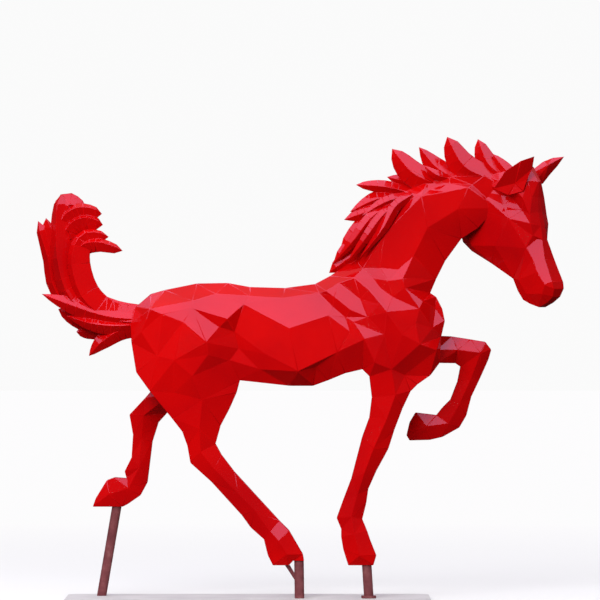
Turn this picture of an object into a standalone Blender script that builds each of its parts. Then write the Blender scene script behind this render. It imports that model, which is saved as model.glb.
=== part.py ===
"""A life-size faceted horse in glossy red, cast as one piece, on three steel rods and a low base.

Metres, +Z up. +X runs from the tail to the head, the near side is -Y and the far side is +Y.
The figure is drawn on a sheet of squares: `along` counts from the sheet's middle toward the
head, `up` counts from the floor line, `out` counts away from the horse's middle plane.
The origin is the centre of the base's underside.
"""

from math import cos, pi, radians, sin, sqrt

import bmesh
import bpy
import numpy as np
from mathutils import Vector
from mathutils.geometry import delaunay_2d_cdt

HORSE_LENGTH = 2.20
SQUARES_IN_LENGTH = 526
SQUARE = HORSE_LENGTH / SQUARES_IN_LENGTH

BASE_LENGTH = 1.52
BASE_WIDTH = 0.56
BASE_THICKNESS = 0.012
BASE_CORNER = 0.06
BASE_MIDDLE_ALONG = -52

ROD_DIAMETER = 0.040
ROD_SOCKET_DEPTH = 0.008
SPIGOT_DIAMETER = 0.018
SPIGOT_HEIGHT = 0.018
FIT_GAP = 0.0004
ROD_SIDES = 24
COLLAR_DIAMETER = 0.062
COLLAR_HEIGHT = 0.011
BRACE_THICKNESS = 0.010

FLOOR_LINE = 3
LEG_OFFSET = 27
OVERLAP = 6
FLATTENING_ROUNDS = 12
HEAD_TURN = radians(40)
HEAD_PIVOT_ALONG = 205

RED = (0.62, 0.004, 0.006, 1)
ROD_RED = (0.17, 0.045, 0.05, 1)
BASE_GREY = (0.55, 0.55, 0.54, 1)

# Muscle forms: along, up, half length, half height, half width.
MUSCLES = (
    (-112, 258, 66, 62, 51),
    (-5, 260, 110, 55, 48),
    (82, 266, 62, 62, 46),
    (112, 258, 36, 46, 38),
    (84, 322, 58, 52, 33),
    (112, 352, 46, 52, 26),
    (140, 385, 50, 46, 22),
)

# Outline chains, each with (out, in) of its rim at its two ends.
BACK = (
    (-164, 293), (-149, 306), (-135, 310), (-103, 316.5), (-72, 317),
    (-50, 313), (-15, 312), (15, 316), (30, 324),
)
CREST = ((56, 341), (75, 370), (90, 395), (105, 409), (127, 417), (150, 423), (184, 424))
POLL = ((203, 414), (196, 392), (178, 372))
THROAT = ((161, 361), (145, 339), (136, 321), (130, 307))
BREAST = ((136, 303), (142, 291), (144.5, 279), (141, 264))
BREAST_FOOT = ((139, 237), (130, 225), (117, 216))
BELLY = ((62, 231), (45, 227), (28, 220), (13, 214.5), (-10, 214.5), (-40, 217.5), (-60, 220))
BUTTOCK = ((-163, 228), (-168, 258), (-169, 276))

NEAR_FORE_FRONT = ((110, 209), (102, 192), (94, 171), (88, 152), (76, 130), (68, 112), (66, 98), (62, 82))
NEAR_FORE_HOOF = ((67, 70), (70, 61), (76, 46), (73, 36), (48, 36), (43, 52), (41, 64))
NEAR_FORE_REAR = (
    (41, 72), (36.5, 83), (43, 101), (51, 122), (58, 150), (62, 164), (69, 183), (71.5, 203), (69, 224),
)
NEAR_HIND_FRONT = (
    (-63, 208), (-70, 192), (-79, 175), (-84, 157), (-78, 146), (-65, 129), (-50, 112), (-20, 80),
)
NEAR_HIND_HOOF = (
    (-11, 71), (-7, 64), (3, 47), (4, 40.5), (-7, 40.5), (-11, 36), (-27, 36), (-32, 46), (-36, 62),
)
NEAR_HIND_REAR = (
    (-49, 73.5), (-58, 86), (-88, 119), (-109, 138), (-112, 155), (-117, 169), (-127, 182), (-149, 209),
)

FAR_FORE_TOP = ((152, 263.5), (171, 260.5), (186, 258), (192, 250), (189, 240))
FAR_FORE_SHIN = ((181, 222), (172, 203), (167, 184), (160, 172))
FAR_FORE_HOOF = ((143, 162.5), (130, 159.5), (110, 159), (107, 164), (110, 177), (116, 187))
FAR_FORE_UNDER = ((137, 184.5), (143, 192), (151, 200), (158, 218), (161, 233), (156, 236.5))
FAR_CHEST_FOOT = ((106, 210), (92, 214), (78, 222))
FAR_HIND_FRONT = ((-78, 208), (-104, 196), (-133, 187), (-142, 177), (-148, 158), (-151, 130), (-153, 117))
FAR_HIND_HOOF = ((-160, 104), (-173, 95), (-178, 92.5), (-208, 92.5), (-205, 101), (-194, 119), (-186, 122))
FAR_HIND_REAR = (
    (-174, 121), (-176, 128), (-169, 142), (-167.5, 165), (-171, 185), (-156, 201), (-149, 209),
)

# Facet corners of the trunk: name, along, up, relief beyond the muscle forms.
TRUNK_CORNERS = {
    "croup": (-149, 291, 8.5),
    "hip": (-107, 299, 0),
    "loin": (-84, 306, 0),
    "back_rear": (-50, 304, 0),
    "back_mid": (-18, 302, 0),
    "back_fore": (19, 307, -2),
    "wedge": (-107, 292, -2),
    "wedge_fore": (-72, 281, 6),
    "haunch_rear": (-137, 286, 3),
    "haunch_brow": (-116, 278, -2),
    "haunch_key": (-93, 258, 2),
    "haunch_fore": (-80, 273, -1.5),
    "haunch_dip": (-91, 246, 1),
    "haunch_foot": (-107, 224, 6),
    "haunch_heel": (-125, 240, 2),
    "buttock": (-142, 244, 0),
    "buttock_top": (-158, 268, 0),
    "thigh_fore": (-70, 240, -1),
    "flank_top": (-56, 296, 1),
    "flank_pit": (-65, 268, -4),
    "flank_low": (-61, 252, -9),
    "flank_foot": (-40, 231, -2),
    "rib_mid": (-11, 272, 3),
    "rib_fore": (28, 285, 2),
    "rib_top": (33, 293, -4),
    "rib_rear_low": (-36, 247, 2),
    "rib_low": (-2, 229, 2),
    "girth_low": (16, 234, -1),
    "girth_mid": (37, 248, -2),
    "girth_top": (50, 268, -1.5),
    "elbow_rear": (64, 261, 0.5),
    "elbow": (74, 238, 4),
    "rib_front": (45, 283, -2.5),
    "blade_tip": (26, 309, 12),
    "blade_rear": (50, 290, 2),
    "blade_rear_top": (34, 303, 8.5),
    "blade_mid": (67, 283, -4),
    "blade_foot": (53, 278, -1.5),
    "blade_key": (60, 301, -3.5),
    "blade_valley": (39, 317, 5.5),
    "blade_peak": (54, 322, 0),
    "point_top": (68, 310, 2.5),
    "point_mid": (80, 296, -0.5),
    "point_low": (86, 288, 0),
    "point_foot": (84, 266, -4),
    "collar_rear": (72, 322, -5),
    "collar_step": (80, 312, -1),
    "collar_mid": (92, 303, -1),
    "collar_fore": (119, 291, 3),
    "collar_top": (104, 312, 5),
    "sternum_top": (122, 299, 4),
    "chest_top": (135, 292, 2.5),
    "breast_apex": (115, 277, 0),
    "breast_key": (101, 266, -0.5),
    "breast_mid": (119, 256, 7),
    "breast_edge": (136, 250, 2),
    "breast_fore": (132, 272, -2.5),
    "arm_top": (91, 231, 0),
    "arm_fore": (104, 225, 3),
    "neck_rear": (62, 331, -8),
    "neck_root": (80, 332, -7),
    "neck_side": (98, 330, -4.5),
    "neck_ledge": (88, 319, 0),
    "neck_foot": (102, 321, 2.5),
    "neck_low": (113, 344, 0),
    "neck_mid": (127, 372, 0.5),
    "neck_high": (158, 391, -1),
    "crest_low": (84, 366, 4.5),
    "crest_mid": (121, 403.5, 0.5),
    "crest_ridge": (146, 408, -1),
    "crest_high": (168, 412.5, 1.5),
    "lip_rear": (128, 410, -5.5),
    "lip_mid": (149, 416.5, -5.5),
    "lip_high": (172, 415, 0.5),
}

# Leg ridges, from the body down: along, up, half thickness about the leg's own plane.
NEAR_HIND_RIDGE = (
    (-126, 208, 15), (-97, 201, 15), (-100, 172, 14), (-99, 149, 12.5), (-86, 133, 11),
    (-62, 108, 8.5), (-44, 90, 8.5), (-30, 70, 9), (-21, 60, 11), (-13, 47, 11.5),
)
NEAR_FORE_RIDGE = (
    (95, 206, 12), (86, 181, 12), (73, 152, 12), (64, 128, 10.5), (57, 106, 8),
    (51, 84, 9), (54, 67, 11), (59, 46, 12.5),
)
FAR_FORE_RIDGE = (
    (158, 250, 15), (181, 247, 12), (171, 220, 8.5), (160, 196, 9), (149, 176, 8.5), (127, 173, 10),
)
FAR_HIND_RIDGE = (
    (-126, 208, 15), (-157, 184, 12), (-159, 160, 8.5), (-161, 132, 9.5), (-172, 111, 10), (-192, 105, 10),
)

CREASES = (
    "croup hip loin back_rear back_mid back_fore",
    "croup haunch_rear haunch_brow haunch_key haunch_fore wedge wedge_fore haunch_fore",
    "wedge haunch_key",
    "wedge_fore flank_top back_rear",
    "wedge_fore flank_pit flank_top rib_mid rib_fore rib_top back_fore",
    "buttock_top buttock haunch_heel haunch_foot haunch_dip haunch_key",
    "haunch_brow haunch_heel",
    "haunch_dip thigh_fore flank_low flank_pit rib_rear_low rib_low",
    "flank_low flank_foot rib_low rib_mid",
    "rib_rear_low rib_mid",
    "rib_fore girth_top rib_front rib_fore",
    "rib_low girth_mid girth_top elbow_rear girth_mid",
    "elbow_rear elbow arm_top arm_fore breast_edge breast_mid breast_apex breast_fore chest_top collar_fore",
    "blade_foot elbow_rear point_foot blade_foot",
    "point_foot arm_top breast_mid breast_key breast_apex",
    "back_fore rib_top rib_front blade_mid",
    "back_fore blade_tip blade_rear_top blade_rear blade_mid",
    "blade_tip blade_valley blade_key blade_mid",
    "blade_valley blade_peak point_top point_mid point_low blade_mid",
    "blade_peak collar_rear collar_step collar_mid collar_fore point_low",
    "collar_rear neck_ledge neck_foot collar_top sternum_top collar_fore collar_top",
    "blade_peak neck_rear neck_root neck_side neck_foot",
    "collar_fore breast_apex point_low",
    "neck_side neck_low neck_mid neck_high",
    "neck_rear crest_low crest_mid crest_ridge crest_high lip_high lip_mid lip_rear crest_mid",
)

# Facets of the trunk that lie flat, by their corners.
FLAT_FACETS = (
    "wedge hip loin back_rear flank_top wedge_fore",
    "flank_top back_rear back_mid back_fore rib_top rib_fore rib_mid",
    "flank_top rib_mid rib_low rib_rear_low flank_pit",
    "rib_mid rib_fore girth_mid rib_low",
    "crest_low crest_mid neck_mid neck_low neck_side neck_root",
    "crest_mid crest_ridge crest_high neck_high neck_mid",
    "breast_mid breast_edge arm_fore arm_top",
)

# Head, in its own plane: forward of the poll, up, half width.
HEAD_OUTLINE = (
    (-14, 424, 12), (14, 430, 10), (33, 433, 4), (44, 418, 2), (43.5, 402, 2), (44.5, 388, 3), (48, 374, 3),
    (50.5, 360, 4), (56.5, 340, 8), (62, 328, 8.5), (66.5, 318, 9), (68, 311, 8), (65, 303, 6), (57, 297, 5),
    (47, 292.5, 5), (37, 296, 7), (29, 300, 8), (23, 309, 9), (18, 321, 10), (-8, 336, 11), (-34, 349, 11),
    (-46, 358, 10), (-51, 372, 9), (-48, 390, 8), (-32, 410, 8),
)
HEAD_CORNERS = {
    "ear_seat": (4, 419, 15),
    "brow_rear": (4, 412, 19),
    "brow_top": (28, 409, 19),
    "brow_mid": (36, 401, 17),
    "brow_fore": (42, 385, 14),
    "temple": (37, 419, 11),
    "forehead_foot": (42, 402, 10),
    "pit_rear": (-10, 414, 14.5),
    "pit_top": (5, 405, 14.5),
    "pit_mid": (11, 394, 16),
    "lid": (17, 403, 11),
    "pit_fore": (32, 389, 12.5),
    "ledge_rear": (-20, 409, 19),
    "ledge_mid": (21, 381, 21),
    "ledge_fore": (43.5, 376, 15),
    "cheek_high": (-32, 395, 17),
    "cheek_rear": (-40, 368, 17),
    "cheek_low_rear": (-28, 354, 17),
    "cheek_low_mid": (4, 354, 21),
    "nose_step": (44.5, 364, 12),
    "nose_high": (46, 361, 7.5),
    "bridge_flare": (40, 352, 17),
    "bridge_high": (47.5, 340, 16),
    "bridge_low": (53, 328, 16.5),
    "bridge_tip": (61.5, 315, 15),
    "nostril": (57, 306, 13),
    "mouth": (36, 306, 12),
    "lip_top": (29, 320, 15),
}
HEAD_CREASES = (
    "ledge_rear pit_rear pit_top pit_mid lid pit_fore ledge_fore ledge_mid ledge_rear",
    "pit_mid ledge_mid pit_fore",
    "ear_seat brow_rear pit_rear",
    "brow_rear brow_top brow_mid brow_fore ledge_fore",
    "brow_top temple forehead_foot brow_fore",
    "ledge_rear cheek_high cheek_rear cheek_low_rear cheek_low_mid bridge_flare ledge_mid",
    "ledge_fore nose_step nose_high bridge_flare nose_step",
    "bridge_flare bridge_high bridge_low bridge_tip nostril mouth lip_top bridge_low",
)

# Facets of the head that lie flat.
HEAD_FLATS = (
    "cheek_high cheek_rear cheek_low_rear cheek_low_mid",
)

# Ears: rim of the shell, then the middle of its face and the middle of its back.
EARS = (
    (
        ((193, 411, -30), (204, 428, -40), (219, 438, -46), (232.5, 442.5, -47), (231, 431, -39),
         (226, 420, -36), (222, 408, -36), (207, 404, -32)),
        (214, 416, -31),
        (212, 420, -10),
    ),
    (
        ((222, 422, 1), (243, 438.5, 4), (253, 442.5, 6), (264.5, 443.5, 9), (258, 434, 8), (250, 425, 6),
         (243, 416, 0), (230, 412, -3)),
        (248, 435, -3),
        (236, 426, 14),
    ),
)

# Where along a lock it is widest, as a share of its length.
LOCK_FULLEST = 0.42

# How slowly a lock narrows to its tip: the power of its width's fall.
POINTED = 0.8
ROUNDED = 0.55
BLUNT = 0.38

# Locks: points of the spine (along, up, out), half width, half thickness, tip and, where the ridges aren't
# in the middle, how far they lean. Each side lock is mirrored.
MANE_LOCKS = (
    (((84, 370, 0), (58, 349, -3), (29, 327, -3)), 12, 10, ROUNDED),
    (((95, 388, 0), (66, 364, -4), (33, 336, -5)), 13, 10, ROUNDED),
    (((99, 394, 0), (70, 378, -3), (40, 350, -4)), 12, 9, ROUNDED),
    (((100, 400, 0), (72, 390, -4), (44, 380, -5)), 10, 8, POINTED),
    (((106, 402, 0), (78, 401, -3), (50, 388, -5)), 9, 8, POINTED),
    (((112, 407, 0), (84, 413, -4), (56, 415, -6)), 7, 7, ROUNDED),
    (((128, 411, 0), (108, 418, 3), (87, 423, 4)), 8, 7, POINTED),
    (((142, 413, 0), (112, 427, -4), (92, 451, -6)), 13, 9, ROUNDED),
    (((166, 417, 0), (138, 431, 3), (119, 453, 4)), 11, 8, POINTED),
    (((192, 419, 0), (163, 434, -3), (147, 463, -5)), 14, 9, ROUNDED),
    (((208, 421, 0), (188, 436, 3), (178, 461, 4)), 11, 8, ROUNDED),
    (((216, 420, 0), (204, 431, -2), (193, 446, 0)), 8, 7, POINTED),
)
SIDE_LOCKS = (
    (((112, 405, 12), (95, 393, 20), (82, 370, 25), (59, 341, 25)), 6, 6, POINTED),
    (((102, 400, 12), (82, 384, 20), (66, 362, 24), (47, 337, 21)), 6.5, 6, POINTED),
    (((98, 399, 10), (72, 383, 17), (54, 360, 19), (35, 338, 14)), 6.5, 6, POINTED),
    (((106, 404, 9), (84, 397, 15), (62, 384, 15)), 6, 6, POINTED),
    (((150, 421, 4), (136, 425, 10), (124, 434, 9)), 5, 5, POINTED),
)

TAIL_LOCKS = (
    (
        ((-150, 283, 0), (-188, 287, -2), (-221, 303, -2), (-234, 335, -1), (-238, 372, 0), (-239, 406, 1)),
        15, 13, BLUNT, 0.5,
    ),
    (
        ((-150, 286, 0), (-186, 287, -8), (-211, 306, -11), (-221, 338, -11), (-214, 361, -10),
         (-191, 363, -9)),
        12, 7, BLUNT, 0.6,
    ),
    (((-222, 330, -3), (-218, 350, -7), (-202, 355, -10), (-177, 349, -12)), 8, 7, BLUNT, 0.4),
    (((-228, 340, 2), (-229, 366, 1), (-216, 377, -1), (-197, 375, -3)), 10, 7, BLUNT, 0.6),
    (((-234, 352, 0), (-233, 376, 2), (-220, 387, 0), (-198, 386, -2)), 11, 8, BLUNT, 0.6),
    (((-232, 360, 2), (-236, 385, 5), (-232, 398, 5), (-214, 393, 4)), 11, 9, ROUNDED, -0.3),
    (((-165, 280, 0), (-208, 286, 8), (-240, 310, 9), (-249, 345, 5), (-262, 379, 1)), 11, 9, BLUNT, 0.4),
    (((-234, 312, 6), (-247, 345, 4), (-254, 382, 2)), 10, 7, BLUNT, -0.5),
    (((-150, 280, 0), (-190, 283, -9), (-226, 294, -11), (-258, 306, -7)), 11, 8, POINTED),
    (((-150, 278, 0), (-190, 275, 4), (-220, 281, 6), (-242, 291, 4)), 12, 9, ROUNDED),
    (((-150, 276, 0), (-186, 274, -8), (-210, 277, -11), (-233, 284, -8)), 9, 8, POINTED),
    (((-150, 273, 0), (-180, 269, -2), (-198, 258, -3), (-211, 244, -2)), 10, 8, POINTED),
    (((-150, 276, 0), (-186, 272, 6), (-210, 269, 8), (-224, 268, 6)), 10, 8, ROUNDED),
)


def empty_scene():
    for thing in list(bpy.data.objects):
        bpy.data.objects.remove(thing, do_unlink=True)


def paint(name, colour, roughness, metallic, coat=0.0):
    material = bpy.data.materials.new(name)
    material.use_nodes = True
    shader = material.node_tree.nodes["Principled BSDF"]
    shader.inputs["Base Color"].default_value = colour
    shader.inputs["Roughness"].default_value = roughness
    shader.inputs["Metallic"].default_value = metallic
    shader.inputs["Coat Weight"].default_value = coat
    return material


def place(along, out, up):
    """A point of the sheet, in metres from the base's centre."""
    lift = BASE_THICKNESS - FLOOR_LINE * SQUARE
    return Vector(((along - BASE_MIDDLE_ALONG) * SQUARE, out * SQUARE, up * SQUARE + lift))


def closed_mesh(name, points, faces, cutter=False):
    """An object from points and faces, with every face a triangle that looks outward."""
    mesh = bpy.data.meshes.new(name)
    mesh.from_pydata([tuple(point) for point in points], [], faces)
    shape = bmesh.new()
    shape.from_mesh(mesh)
    bmesh.ops.triangulate(shape, faces=shape.faces[:])
    bmesh.ops.recalc_face_normals(shape, faces=shape.faces[:])
    shape.to_mesh(mesh)
    shape.free()
    thing = bpy.data.objects.new(name, mesh)
    bpy.context.scene.collection.objects.link(thing)
    if cutter:
        thing.hide_render = True
        thing.display_type = "WIRE"
    return thing


def muscle_width(along, up):
    """Half width of the body at a place on its side: the widest muscle form there."""
    widest = 0
    for middle, height, half_length, half_height, half_width in MUSCLES:
        share = ((along - middle) / half_length) ** 2 + ((up - height) / half_height) ** 2
        if share < 1:
            widest = max(widest, half_width * sqrt(1 - share))
    return widest


def rim(points, first, last):
    """Outline points with the (out, in) of their rim, going evenly from first to last."""
    steps = max(len(points) - 1, 1)
    found = []
    for number, (along, up) in enumerate(points):
        share = number / steps
        outer = first[0] + (last[0] - first[0]) * share
        inner = first[1] + (last[1] - first[1]) * share
        found.append((along, up, outer, inner))
    return found


def leg_rim(points, first, last):
    """The rim of a leg, whose half thickness goes from first to last about the leg's plane."""
    return rim(
        points,
        (LEG_OFFSET + first, LEG_OFFSET - first),
        (LEG_OFFSET + last, LEG_OFFSET - last),
    )


def panel(outline, corners, creases):
    """Triangles that fill an outline and keep to its inner corners and creases."""
    places = [Vector(point[:2]) for point in outline] + [Vector(point[:2]) for point in corners]
    loop = list(range(len(outline)))
    edges = [(a + len(outline), b + len(outline)) for a, b in creases]
    made = delaunay_2d_cdt(places, edges, [loop], 1, 1e-5)
    originals = [found[0] for found in made[3]]
    return [tuple(originals[index] for index in face) for face in made[2]]


def flattened(corners, widths, facets):
    """The widths at the corners, after the corners of each flat facet have been drawn level."""
    widths = dict(widths)
    for _ in range(FLATTENING_ROUNDS):
        for line in facets:
            names = line.split()
            spots = np.array([(*corners[name][:2], 1) for name in names])
            heights = np.array([widths[name] for name in names])
            level = spots @ np.linalg.lstsq(spots, heights, rcond=None)[0]
            for name, height in zip(names, level):
                widths[name] += (float(height) - widths[name]) / 2
    return widths


def half_horse(name, side, outline, ridges):
    """One side of the horse with that side's legs, a little past the middle plane."""
    names = list(TRUNK_CORNERS)
    forms = {name: muscle_width(*spot[:2]) + spot[2] for name, spot in TRUNK_CORNERS.items()}
    widths = flattened(TRUNK_CORNERS, forms, FLAT_FACETS)
    corners = []
    for corner, (along, up, _) in TRUNK_CORNERS.items():
        corners.append((along, up, widths[corner], -OVERLAP))
    creases = []
    for line in CREASES:
        steps = [names.index(word) for word in line.split()]
        creases.extend(zip(steps, steps[1:]))
    for ridge in ridges:
        start = len(corners)
        for along, up, half in ridge:
            inner = LEG_OFFSET - half if up < 200 or along > 150 else -OVERLAP
            corners.append((along, up, LEG_OFFSET + half, inner))
        creases.extend((start + step, start + step + 1) for step in range(len(ridge) - 1))
    every = list(outline) + corners
    faces = panel(outline, corners, creases)
    count = len(every)
    points = [place(along, side * outer, up) for along, up, outer, inner in every]
    points += [place(along, side * inner, up) for along, up, outer, inner in every]
    both = faces + [tuple(index + count for index in reversed(face)) for face in faces]
    around = len(outline)
    for index in range(around):
        after = (index + 1) % around
        both.append((index, after, after + count, index + count))
    return closed_mesh(name, points, both)


def topline():
    chains = rim(BACK, (13, -OVERLAP), (9, -OVERLAP))
    chains += rim(CREST, (6, -OVERLAP), (9, -OVERLAP))
    chains += rim(POLL, (9, -OVERLAP), (9, -OVERLAP))
    chains += rim(THROAT, (9, -OVERLAP), (12, -OVERLAP))
    chains += rim(BREAST, (14, -OVERLAP), (18, -OVERLAP))
    return chains


def near_outline():
    chains = topline()
    chains += rim(BREAST_FOOT, (20, -OVERLAP), (30, -OVERLAP))
    chains += leg_rim(NEAR_FORE_FRONT, 5, 4)
    chains += leg_rim(NEAR_FORE_HOOF, 6, 6)
    chains += leg_rim(NEAR_FORE_REAR, 5, 9)
    chains += rim(BELLY, (30, -OVERLAP), (30, -OVERLAP))
    chains += leg_rim(NEAR_HIND_FRONT, 4, 4)
    chains += leg_rim(NEAR_HIND_HOOF, 6, 6)
    chains += leg_rim(NEAR_HIND_REAR, 5, 14)
    chains += rim(BUTTOCK, (32, -OVERLAP), (20, -OVERLAP))
    return chains


def far_outline():
    chains = topline()
    chains += leg_rim(FAR_FORE_TOP, 7, 5)
    chains += leg_rim(FAR_FORE_SHIN, 4, 4)
    chains += leg_rim(FAR_FORE_HOOF, 5, 6)
    chains += leg_rim(FAR_FORE_UNDER, 5, 8)
    chains += rim(BREAST_FOOT, (20, -OVERLAP), (30, -OVERLAP))
    chains += rim(FAR_CHEST_FOOT, (30, -OVERLAP), (30, -OVERLAP))
    chains += rim(BELLY, (30, -OVERLAP), (30, -OVERLAP))
    chains += leg_rim(FAR_HIND_FRONT, 4, 5)
    chains += leg_rim(FAR_HIND_HOOF, 6, 6)
    chains += leg_rim(FAR_HIND_REAR, 5, 14)
    chains += rim(BUTTOCK, (32, -OVERLAP), (20, -OVERLAP))
    return chains


def head_place(forward, side, up):
    """A point of the head, turned about the poll toward the near side."""
    along = HEAD_PIVOT_ALONG + forward * cos(HEAD_TURN) + side * sin(HEAD_TURN)
    out = -forward * sin(HEAD_TURN) + side * cos(HEAD_TURN)
    return place(along, out, up)


def head(name):
    """The head, the same on both sides of its own middle plane."""
    names = list(HEAD_CORNERS)
    forms = {corner: spot[2] for corner, spot in HEAD_CORNERS.items()}
    widths = flattened(HEAD_CORNERS, forms, HEAD_FLATS)
    corners = [(*HEAD_CORNERS[corner][:2], widths[corner]) for corner in names]
    creases = []
    for line in HEAD_CREASES:
        steps = [names.index(word) for word in line.split()]
        creases.extend(zip(steps, steps[1:]))
    every = list(HEAD_OUTLINE) + corners
    faces = panel(HEAD_OUTLINE, corners, creases)
    count = len(every)
    points = [head_place(forward, -half, up) for forward, up, half in every]
    points += [head_place(forward, half, up) for forward, up, half in every]
    both = faces + [tuple(index + count for index in reversed(face)) for face in faces]
    around = len(HEAD_OUTLINE)
    for index in range(around):
        after = (index + 1) % around
        both.append((index, after, after + count, index + count))
    return closed_mesh(name, points, both)


def curve_point(knots, share):
    """A place on the smooth curve through the knots, and the curve's direction there."""
    spans = len(knots) - 1
    span = min(int(share * spans), spans - 1)
    t = share * spans - span
    b, c = Vector(knots[span]), Vector(knots[span + 1])
    a = Vector(knots[span - 1]) if span > 0 else 2 * b - c
    d = Vector(knots[span + 2]) if span + 2 <= spans else 2 * c - b
    point = 0.5 * (2 * b + (c - a) * t + (2 * a - 5 * b + 4 * c - d) * t**2 + (3 * b - a - 3 * c + d) * t**3)
    slope = 0.5 * ((c - a) + 2 * (2 * a - 5 * b + 4 * c - d) * t + 3 * (3 * b - a - 3 * c + d) * t**2)
    return point, slope.normalized()


def leaf_share(share, tip):
    """How much of its full width a lock has at this share of its length."""
    if share < LOCK_FULLEST:
        return 0.72 + 0.28 * sin(pi / 2 * share / LOCK_FULLEST)
    return cos(pi / 2 * (share - LOCK_FULLEST) / (1 - LOCK_FULLEST)) ** tip


def lock(name, knots, half_width, half_thickness, tip, lean=0.0):
    """A leaf along a curve in the sheet plane. Its two ridges lean to one edge by a share of its width."""
    steps = 3 * (len(knots) - 1) + 2
    points = []
    for step in range(steps):
        share = step / steps
        (along, up, out), (go_along, go_up, go_out) = curve_point(knots, share)
        full = leaf_share(share, tip)
        wide = half_width * full
        thick = half_thickness * full
        across = Vector((-go_up, go_along)).normalized()
        for flat, deep in ((wide, 0), (lean * wide, thick), (-wide, 0), (lean * wide, -thick)):
            points.append(place(along + across.x * flat, out + deep, up + across.y * flat))
    (along, up, out), _ = curve_point(knots, 1)
    points.append(place(along, out, up))
    faces = [(0, 1, 2, 3)]
    for step in range(steps - 1):
        for corner in range(4):
            after = (corner + 1) % 4
            low = 4 * step
            faces.append((low + corner, low + after, low + 4 + after, low + 4 + corner))
    last = 4 * (steps - 1)
    for corner in range(4):
        faces.append((last + corner, last + (corner + 1) % 4, last + 4))
    return closed_mesh(name, points, faces)


def ear(name, edge, face, back):
    """A shell whose rim runs round the hollow or ridge of its face and the middle of its back."""
    points = [place(along, out, up) for along, up, out in (*edge, face, back)]
    count = len(edge)
    faces = []
    for number in range(count):
        after = (number + 1) % count
        faces += [(number, after, count), (after, number, count + 1)]
    return closed_mesh(name, points, faces)


def join_all(body, others):
    """The body and every other solid as one."""
    group = bpy.data.collections.new("joined_to_" + body.name)
    for other in others:
        bpy.context.scene.collection.objects.unlink(other)
        group.objects.link(other)
    bpy.context.scene.collection.children.link(group)
    group.hide_render = True
    union = body.modifiers.new("union", "BOOLEAN")
    union.operation = "UNION"
    union.operand_type = "COLLECTION"
    union.collection = group
    union.solver = "EXACT"


def cut(body, cutter):
    taken = body.modifiers.new("cut", "BOOLEAN")
    taken.operation = "DIFFERENCE"
    taken.object = cutter
    taken.solver = "EXACT"


def settle(body):
    """Turns the modifiers into the object's own mesh and removes what they used."""
    graph = bpy.context.evaluated_depsgraph_get()
    graph.update()
    mesh = bpy.data.meshes.new_from_object(body.evaluated_get(graph))
    body.modifiers.clear()
    body.data = mesh
    shape = bmesh.new()
    shape.from_mesh(mesh)
    bmesh.ops.remove_doubles(shape, verts=shape.verts[:], dist=1e-5)
    bmesh.ops.dissolve_degenerate(shape, dist=1e-5, edges=shape.edges[:])
    bmesh.ops.triangulate(shape, faces=shape.faces[:])
    shape.to_mesh(mesh)
    shape.free()


def ring(along, out, up, radius, sides):
    """Points of a level circle, radius in metres."""
    middle = place(along, out, up)
    turns = [2 * pi * number / sides for number in range(sides)]
    return [middle + Vector((radius * cos(turn), radius * sin(turn), 0)) for turn in turns]


def round_bar(name, rings, cutter=False):
    """A closed bar through level rings."""
    sides = len(rings[0])
    points = [point for level in rings for point in level]
    faces = [tuple(range(sides)), tuple(range(len(points) - sides, len(points)))]
    for level in range(len(rings) - 1):
        for number in range(sides):
            after = (number + 1) % sides
            low = level * sides
            faces.append((low + number, low + after, low + sides + after, low + sides + number))
    return closed_mesh(name, points, faces, cutter)


# Rods: name, foot (along, out), top (along, out, up), collar at the foot or not, brace or not.
RODS = (
    ("near_fore_rod", (68.5, -LEG_OFFSET), (66.5, -LEG_OFFSET, 36), True, False),
    ("near_hind_rod", (-0.5, -LEG_OFFSET), (-1, -LEG_OFFSET, 40.5), False, True),
    ("far_hind_rod", (-199.5, LEG_OFFSET), (-184, LEG_OFFSET, 92.5), False, False),
)

# The flat brace from the near hind hoof's heel to its rod: two corners under the sole, two in the rod.
BRACE_SOLE = 36
BRACE_HEEL = (-15, -10)
BRACE_FOOT = ((0, 19), (0, 13))


def rod(name, foot, top, collar=False, gap=0.0):
    """A rod with a spigot on top, from its socket in the base. A gap makes it the tool that cuts its fit."""
    in_metres = 1 / SQUARE
    radius = ROD_DIAMETER / 2 + gap
    spigot = SPIGOT_DIAMETER / 2 + gap
    sunk = FLOOR_LINE - (ROD_SOCKET_DEPTH - FIT_GAP + gap) * in_metres
    shoulder = top[2] - (FIT_GAP - gap) * in_metres
    tip = top[2] + (SPIGOT_HEIGHT + gap) * in_metres
    rings = [
        ring(foot[0], foot[1], sunk, radius, ROD_SIDES),
        ring(top[0], top[1], shoulder, radius, ROD_SIDES),
        ring(top[0], top[1], shoulder, spigot, ROD_SIDES),
        ring(top[0], top[1], tip, spigot, ROD_SIDES),
    ]
    if collar:
        low = FLOOR_LINE + FIT_GAP * in_metres
        high = low + COLLAR_HEIGHT * in_metres
        share = (low - sunk) / (shoulder - sunk)
        along = foot[0] + (top[0] - foot[0]) * share
        rings[1:1] = [
            ring(along, foot[1], low, radius, ROD_SIDES),
            ring(along, foot[1], low, COLLAR_DIAMETER / 2, ROD_SIDES),
            ring(along, foot[1], high, COLLAR_DIAMETER / 2, ROD_SIDES),
            ring(along, foot[1], high, radius, ROD_SIDES),
        ]
    return round_bar(name, rings, cutter=gap > 0)


def brace(name):
    """The flat bar that ends just under the near hind hoof and inside its rod."""
    sole = BRACE_SOLE - FIT_GAP / SQUARE
    corners = [(BRACE_HEEL[0], sole), (BRACE_HEEL[1], sole), *BRACE_FOOT]
    half = BRACE_THICKNESS / 2 / SQUARE
    points = [place(along, -LEG_OFFSET + side, up) for side in (-half, half) for along, up in corners]
    faces = [(0, 1, 2, 3), (4, 5, 6, 7), (0, 1, 5, 4), (1, 2, 6, 5), (2, 3, 7, 6), (3, 0, 4, 7)]
    return closed_mesh(name, points, faces)


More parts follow.
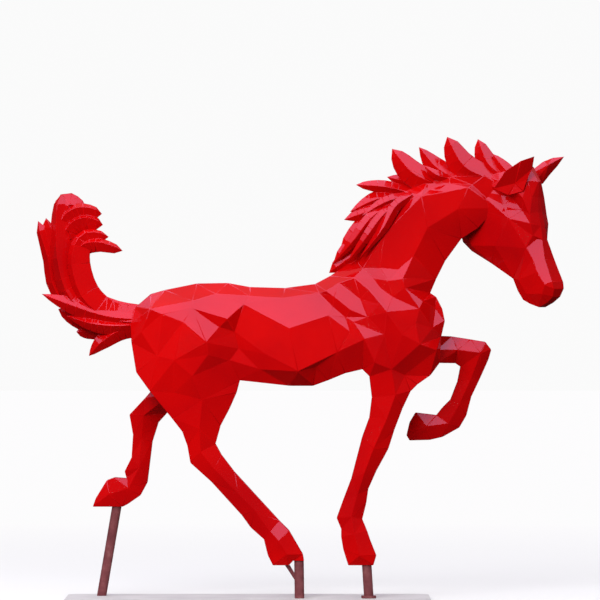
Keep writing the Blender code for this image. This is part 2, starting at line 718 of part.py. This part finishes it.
def plate(name, corners, low, high, cutter=False):
    """A flat piece with the given corners in metres, between two heights in metres."""
    count = len(corners)
    points = [(x, y, low) for x, y in corners] + [(x, y, high) for x, y in corners]
    faces = [tuple(range(count)), tuple(range(count, 2 * count))]
    for number in range(count):
        after = (number + 1) % count
        faces.append((number, after, after + count, number + count))
    return closed_mesh(name, points, faces, cutter)


def base_corners():
    """The base's outline, with round corners."""
    steps = 8
    corners = []
    for quarter in range(4):
        middle_x = (BASE_LENGTH / 2 - BASE_CORNER) * (1 if quarter in (0, 3) else -1)
        middle_y = (BASE_WIDTH / 2 - BASE_CORNER) * (1 if quarter in (0, 1) else -1)
        for step in range(steps + 1):
            turn = pi / 2 * (quarter + step / steps)
            corners.append((middle_x + BASE_CORNER * cos(turn), middle_y + BASE_CORNER * sin(turn)))
    return corners


def main():
    empty_scene()
    red = paint("red_gloss_paint", RED, 0.12, 0.0, 1.0)
    dull_red = paint("dull_red_paint", ROD_RED, 0.6, 0.0)
    grey = paint("grey_paint", BASE_GREY, 0.55, 0.0)

    horse = half_horse("horse", -1, near_outline(), (NEAR_FORE_RIDGE, NEAR_HIND_RIDGE))
    others = [half_horse("far_half", 1, far_outline(), (FAR_FORE_RIDGE, FAR_HIND_RIDGE)), head("head")]
    for number, shape in enumerate(MANE_LOCKS + TAIL_LOCKS):
        others.append(lock(f"lock_{number}", *shape))
    for number, (knots, half_width, half_thickness, tip) in enumerate(SIDE_LOCKS):
        for side in (-1, 1):
            turned = [(along, up, side * out) for along, up, out in knots]
            others.append(lock(f"side_lock_{number}_{side}", turned, half_width, half_thickness, tip))
    for number, (edge, face, back) in enumerate(EARS):
        others.append(ear(f"ear_{number}", edge, face, back))
    join_all(horse, others)
    settle(horse)
    for other in others:
        bpy.data.objects.remove(other, do_unlink=True)
    horse.data.materials.append(red)

    base = plate("base", base_corners(), 0, BASE_THICKNESS)
    base.data.materials.append(grey)
    for name, foot, top, collar, braced in RODS:
        thing = rod(name, foot, top, collar)
        if braced:
            support = brace("brace")
            join_all(thing, [support])
            settle(thing)
            bpy.data.objects.remove(support, do_unlink=True)
        thing.data.materials.append(dull_red)
        fit = rod(name + "_fit", foot, top, gap=FIT_GAP)
        cut(horse, fit)
        cut(base, fit)


main()
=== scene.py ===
"""Dresses the faceted horse statue: glossy red paint, dull red rods, pale base and soft studio light."""

import math

import bmesh
import bpy
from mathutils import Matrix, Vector


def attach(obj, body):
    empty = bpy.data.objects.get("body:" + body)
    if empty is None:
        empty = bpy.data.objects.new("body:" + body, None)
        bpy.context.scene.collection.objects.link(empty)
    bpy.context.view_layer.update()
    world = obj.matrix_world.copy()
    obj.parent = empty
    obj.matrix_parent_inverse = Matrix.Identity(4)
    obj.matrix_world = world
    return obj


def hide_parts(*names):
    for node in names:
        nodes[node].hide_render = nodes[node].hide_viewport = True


# Camera: the width it frames at the statue, the point it faces, its distance and its sensor's millimetres.
VIEW_WIDTH = 2.5095
VIEW_MIDDLE = (0.2175, 0.0, 1.254)
CAMERA_DISTANCE = 26.0
SENSOR = 36.0
CLIP_END = 200.0

# Paints, as linear colours. The rods' and the base's run along a noise.
RED = (0.60, 0.0015, 0.002)
RED_DEEP = (0.45, 0.001, 0.0025)
DUST = (0.62, 0.10, 0.09)
ROD_REDS = ((0.35, (0.15, 0.035, 0.04)), (0.55, (0.20, 0.05, 0.055)), (0.75, (0.26, 0.09, 0.09)))
BASE_GREYS = ((0.3, (0.50, 0.50, 0.49)), (0.6, (0.60, 0.60, 0.59)), (0.8, (0.68, 0.67, 0.65)))

# Easing of the horse's edges: faces this close to one plane make one facet, and each facet is inset by
# the widest of the edge widths that its room allows. A corner is drawn in where its facets' normals
# agree this well.
FACET_ANGLE = math.radians(3.0)
MERGE_DISTANCE = 1e-5
EDGE_WIDTH = 0.0025
EDGE_WIDTHS = (EDGE_WIDTH, EDGE_WIDTH / 2, EDGE_WIDTH / 5, EDGE_WIDTH / 20)
ROOM_SHARE = 0.4
LONGEST_STEP = 4 * EDGE_WIDTH
BLUNT = 0.6

# Light that falls on the paint, from below, the walls, the wall at the horse's head and the ceiling.
FILL_LOW = (0.12, 0.11, 0.11)
FILL_WALLS = (0.66, 0.66, 0.67)
FILL_FRONT = (0.42, 0.42, 0.42)
FILL_TOP = (1.25, 1.25, 1.3)

# What the lacquer mirrors: dark below and round about, a bright ceiling, and a dimmer gap in it.
MIRROR_LOW = (0.02, 0.01, 0.01)
MIRROR_WALLS = (0.05, 0.035, 0.04)
MIRROR_GAP = (0.5, 0.3, 0.35)
MIRROR_TOP = (1.9, 1.35, 2.2)

# Where the ceiling and its gap begin and end: the share of straight up or straight back that a direction
# has there, and the width of the soft step.
CEILING_FROM = (0.52, 0.06)
GAP_FROM = (0.26, 0.05)
GAP_TO = (0.60, 0.05)

# Backdrop, and a floor that fades into it between two distances from the statue.
BACKDROP = (0.96, 0.96, 0.96)
FLOOR = (0.80, 0.80, 0.80)
FLOOR_FADE = (1.5, 9.0)
FLOOR_HALF = 60.0

# The soft lamp in front.
LAMP_PLACE = (-1.5, -5.5, 3.5)
LAMP_AIM = (0.2, 0.0, 1.1)
LAMP_SIZE = (3.0, 3.0)
LAMP_POWER = 300.0
LAMP_COLOUR = (1.0, 1.0, 1.0)


def new_material(name):
    """A node material, its node tree and its shader."""
    material = bpy.data.materials.new(name)
    material.use_nodes = True
    tree = material.node_tree
    return material, tree, tree.nodes["Principled BSDF"]


def node(tree, kind, **values):
    """A shader node with its named inputs set to values, or linked where the value is a socket."""
    made = tree.nodes.new(kind)
    for name, value in values.items():
        socket = made.inputs[name.replace("_", " ")]
        if isinstance(value, bpy.types.NodeSocket):
            tree.links.new(value, socket)
        else:
            socket.default_value = value
    return made


def noise(tree, scale, detail=2.0, roughness=0.5):
    """Noise in the object's own metres."""
    place = tree.nodes.new("ShaderNodeTexCoord")
    made = node(tree, "ShaderNodeTexNoise", Scale=scale, Detail=detail, Roughness=roughness)
    tree.links.new(place.outputs["Object"], made.inputs["Vector"])
    return made.outputs["Fac"]


def ramp(tree, value, stops):
    """Colours along a value, from (position, colour) stops."""
    made = tree.nodes.new("ShaderNodeValToRGB")
    tree.links.new(value, made.inputs["Fac"])
    elements = made.color_ramp.elements
    while len(elements) < len(stops):
        elements.new(0.5)
    for element, (position, colour) in zip(elements, stops):
        element.position = position
        element.color = (*colour, 1.0)
    return made.outputs["Color"]


def span(tree, value, low, high, out_low, out_high):
    """The value mapped from one range to another and held inside it."""
    made = tree.nodes.new("ShaderNodeMapRange")
    tree.links.new(value, made.inputs["Value"])
    for name, number in (("From Min", low), ("From Max", high), ("To Min", out_low), ("To Max", out_high)):
        made.inputs[name].default_value = number
    return made.outputs["Result"]


def red_paint():
    """Red gloss paint under clear lacquer, with faint orange peel, dust flecks and uneven colour."""
    material, tree, shader = new_material("horse_red_lacquer")
    cloud = noise(tree, 3.0, 3.0)
    flecks = span(tree, noise(tree, 240.0, 4.0, 0.7), 0.66, 0.78, 0.0, 0.35)
    dulling = span(tree, noise(tree, 9.0, 6.0, 0.6), 0.3, 0.7, 0.38, 0.48)
    tree.links.new(dulling, shader.inputs["Roughness"])
    shader.inputs["Coat Weight"].default_value = 1.0
    shader.inputs["Coat Roughness"].default_value = 0.06
    shader.inputs["Coat IOR"].default_value = 1.5
    shader.inputs["Specular IOR Level"].default_value = 0.0
    colour = ramp(tree, cloud, ((0.30, RED_DEEP), (0.62, RED)))
    tree.links.new(either(tree, flecks, colour, DUST), shader.inputs["Base Color"])
    peel = node(tree, "ShaderNodeBump", Strength=0.035, Distance=0.002, Height=noise(tree, 70.0, 1.0))
    tree.links.new(peel.outputs["Normal"], shader.inputs["Coat Normal"])
    return material


def rod_paint():
    """Dull dark red paint on steel, scuffed paler in places."""
    material, tree, shader = new_material("rod_dull_red")
    patches = noise(tree, 26.0, 5.0, 0.6)
    colour = ramp(tree, patches, ROD_REDS)
    tree.links.new(colour, shader.inputs["Base Color"])
    tree.links.new(span(tree, patches, 0.3, 0.7, 0.42, 0.62), shader.inputs["Roughness"])
    grain = node(tree, "ShaderNodeBump", Strength=0.15, Distance=0.001, Height=noise(tree, 160.0, 3.0))
    tree.links.new(grain.outputs["Normal"], shader.inputs["Normal"])
    return material


def base_paint():
    """Matt pale grey paint on steel plate, with soft dusty patches."""
    material, tree, shader = new_material("base_pale_grey")
    patches = noise(tree, 5.0, 6.0, 0.6)
    colour = ramp(tree, patches, BASE_GREYS)
    tree.links.new(colour, shader.inputs["Base Color"])
    tree.links.new(span(tree, patches, 0.3, 0.7, 0.5, 0.7), shader.inputs["Roughness"])
    grain = node(tree, "ShaderNodeBump", Strength=0.12, Distance=0.001, Height=noise(tree, 220.0, 3.0))
    tree.links.new(grain.outputs["Normal"], shader.inputs["Normal"])
    return material


def own_paint(thing, material):
    """Gives the object this material alone."""
    thing.data.materials.clear()
    thing.data.materials.append(material)


def eased(form):
    """Insets every facet a little and draws the blunt corners in. Gives back a normal for every vertex."""
    facets = list(form.faces)
    corners = set(form.verts)
    flat = {facet: facet.normal.copy() for facet in facets}
    room = {}
    for facet in facets:
        room[facet] = ROOM_SHARE * facet.calc_area() / sum(edge.calc_length() for edge in facet.edges)
    wider = math.inf
    for width in EDGE_WIDTHS:
        group = [facet for facet in facets if width <= room[facet] < wider]
        bmesh.ops.inset_individual(form, faces=group, thickness=width, use_even_offset=True)
        wider = width
    normals = {}
    for facet in facets:
        for vert in facet.verts:
            normals[vert] = flat[facet]
            if vert in corners:
                continue
            others = [edge.other_vert(vert) for edge in vert.link_edges]
            corner = next(other for other in others if other in corners)
            step = vert.co - corner.co
            if step.length > LONGEST_STEP:
                vert.co = corner.co + step * (LONGEST_STEP / step.length)
    for vert in corners:
        inner = [edge.other_vert(vert) for edge in vert.link_edges]
        inner = [other for other in inner if other in normals and other not in corners]
        if inner:
            mean = sum((normals[other] for other in inner), Vector()) / len(inner)
            if mean.length > BLUNT:
                middle = sum((other.co for other in inner), Vector()) / len(inner)
                vert.co = vert.co.lerp(middle, 0.5)
            normals[vert] = mean.normalized()
    return normals


def fine_horse(solid):
    """A copy of the horse whose facet edges are eased, as under a coat of lacquer."""
    horse = bpy.data.objects.new("horse_lacquered", solid.data.copy())
    bpy.context.scene.collection.objects.link(horse)
    horse.matrix_world = solid.matrix_world.copy()
    form = bmesh.new()
    form.from_mesh(horse.data)
    bmesh.ops.remove_doubles(form, verts=form.verts, dist=MERGE_DISTANCE)
    bmesh.ops.dissolve_limit(form, angle_limit=FACET_ANGLE, verts=form.verts, edges=form.edges)
    normals = eased(form)
    form.verts.index_update()
    by_index = {vert.index: normal for vert, normal in normals.items()}
    form.to_mesh(horse.data)
    form.free()
    horse.data.shade_smooth()
    horse.data.normals_split_custom_set_from_vertices(
        [by_index.get(vert.index, vert.normal) for vert in horse.data.vertices]
    )
    return horse


def softly(tree, value, edge, width):
    """0 below the edge and 1 above it, with a soft step of the width."""
    return span(tree, value, edge - width / 2, edge + width / 2, 0.0, 1.0)


def either(tree, factor, low, high):
    """Colour low where the factor is 0 and high where it is 1. Each is a colour or a socket."""
    made = tree.nodes.new("ShaderNodeMix")
    made.data_type = "RGBA"
    tree.links.new(factor, made.inputs["Factor"])
    for name, colour in (("A", low), ("B", high)):
        if isinstance(colour, bpy.types.NodeSocket):
            tree.links.new(colour, made.inputs[name])
        else:
            made.inputs[name].default_value = (*colour, 1.0)
    return made.outputs["Result"]


def softbox(name, place, aim, size, power, colour):
    """A large soft lamp that lights the paint without showing as a reflection in it."""
    lamp = bpy.data.lights.new(name, "AREA")
    lamp.shape = "RECTANGLE"
    lamp.size, lamp.size_y = size
    lamp.energy = power
    lamp.color = colour
    thing = bpy.data.objects.new(name, lamp)
    thing.location = place
    thing.rotation_euler = (Vector(aim) - Vector(place)).to_track_quat("-Z", "Y").to_euler()
    thing.visible_glossy = False
    bpy.context.scene.collection.objects.link(thing)


def room_light():
    """A pale room to the camera, an even fill to the paint and bright ceiling panels in its lacquer."""
    world = bpy.data.worlds.new("studio")
    bpy.context.scene.world = world
    world.use_nodes = True
    world.cycles.sampling_method = "NONE"
    tree = world.node_tree
    place = tree.nodes.new("ShaderNodeTexCoord")
    split = tree.nodes.new("ShaderNodeSeparateXYZ")
    tree.links.new(place.outputs["Generated"], split.inputs["Vector"])
    along, across, up = split.outputs["X"], split.outputs["Y"], split.outputs["Z"]
    overhead = softly(tree, up, *CEILING_FROM)
    behind = softly(tree, across, *GAP_FROM)
    far_box = softly(tree, across, *GAP_TO)
    boxes = either(tree, far_box, either(tree, behind, MIRROR_TOP, MIRROR_GAP), MIRROR_TOP)
    walls = either(tree, softly(tree, up, 0.0, 0.2), MIRROR_LOW, MIRROR_WALLS)
    mirror = either(tree, overhead, walls, boxes)
    sides = either(tree, softly(tree, along, 0.25, 0.9), FILL_WALLS, FILL_FRONT)
    walls = either(tree, softly(tree, up, 0.0, 0.3), FILL_LOW, sides)
    fill = either(tree, softly(tree, up, 0.5, 0.3), walls, FILL_TOP)
    path = tree.nodes.new("ShaderNodeLightPath")
    light = either(tree, path.outputs["Is Glossy Ray"], fill, mirror)
    seen = either(tree, path.outputs["Is Camera Ray"], light, BACKDROP)
    tree.links.new(seen, tree.nodes["Background"].inputs["Color"])


def floor():
    """A matt pale floor that fades into the backdrop."""
    plane = bpy.data.meshes.new("floor")
    turns = ((-1, -1), (1, -1), (1, 1), (-1, 1))
    plane.from_pydata([(x * FLOOR_HALF, y * FLOOR_HALF, 0) for x, y in turns], [], [(0, 1, 2, 3)])
    ground = bpy.data.objects.new("floor", plane)
    bpy.context.scene.collection.objects.link(ground)
    material, tree, shader = new_material("floor_pale")
    place = tree.nodes.new("ShaderNodeTexCoord")
    radius = node(tree, "ShaderNodeVectorMath")
    radius.operation = "LENGTH"
    tree.links.new(place.outputs["Object"], radius.inputs[0])
    far = span(tree, radius.outputs["Value"], *FLOOR_FADE, 0.0, 1.0)
    tree.links.new(either(tree, far, FLOOR, (0.0, 0.0, 0.0)), shader.inputs["Base Color"])
    shader.inputs["Emission Color"].default_value = (*BACKDROP, 1.0)
    tree.links.new(far, shader.inputs["Emission Strength"])
    shader.inputs["Roughness"].default_value = 0.9
    shader.inputs["Specular IOR Level"].default_value = 0.1
    ground.data.materials.append(material)
    ground.visible_diffuse = False
    ground.visible_glossy = False


def studio():
    room_light()
    floor()
    softbox("front_box", LAMP_PLACE, LAMP_AIM, LAMP_SIZE, LAMP_POWER, LAMP_COLOUR)
    bpy.context.scene.view_settings.view_transform = "Standard"


def camera():
    """Level and square to the statue's near side, from so far off that it shows as in the photograph."""
    lens = bpy.data.cameras.new("camera")
    lens.sensor_width = SENSOR
    lens.lens = SENSOR * CAMERA_DISTANCE / VIEW_WIDTH
    lens.clip_end = CLIP_END
    eye = bpy.data.objects.new("camera", lens)
    x, y, z = VIEW_MIDDLE
    eye.location = (x, y - CAMERA_DISTANCE, z)
    eye.rotation_euler = (math.radians(90.0), 0.0, 0.0)
    bpy.context.scene.collection.objects.link(eye)
    bpy.context.scene.camera = eye


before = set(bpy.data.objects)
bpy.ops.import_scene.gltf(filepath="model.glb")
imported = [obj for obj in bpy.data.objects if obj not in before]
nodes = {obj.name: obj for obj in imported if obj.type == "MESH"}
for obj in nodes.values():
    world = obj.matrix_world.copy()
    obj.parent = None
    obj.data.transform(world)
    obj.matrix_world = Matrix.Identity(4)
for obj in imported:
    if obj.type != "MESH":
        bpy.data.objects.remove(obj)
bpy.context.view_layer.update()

horse = fine_horse(nodes["horse"])
own_paint(horse, red_paint())
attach(horse, "root")
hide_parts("horse")
rods = rod_paint()
for name in ("near_fore_rod", "near_hind_rod", "far_hind_rod"):
    own_paint(nodes[name], rods)
own_paint(nodes["base"], base_paint())
nodes["base"].visible_glossy = False

studio()
camera()
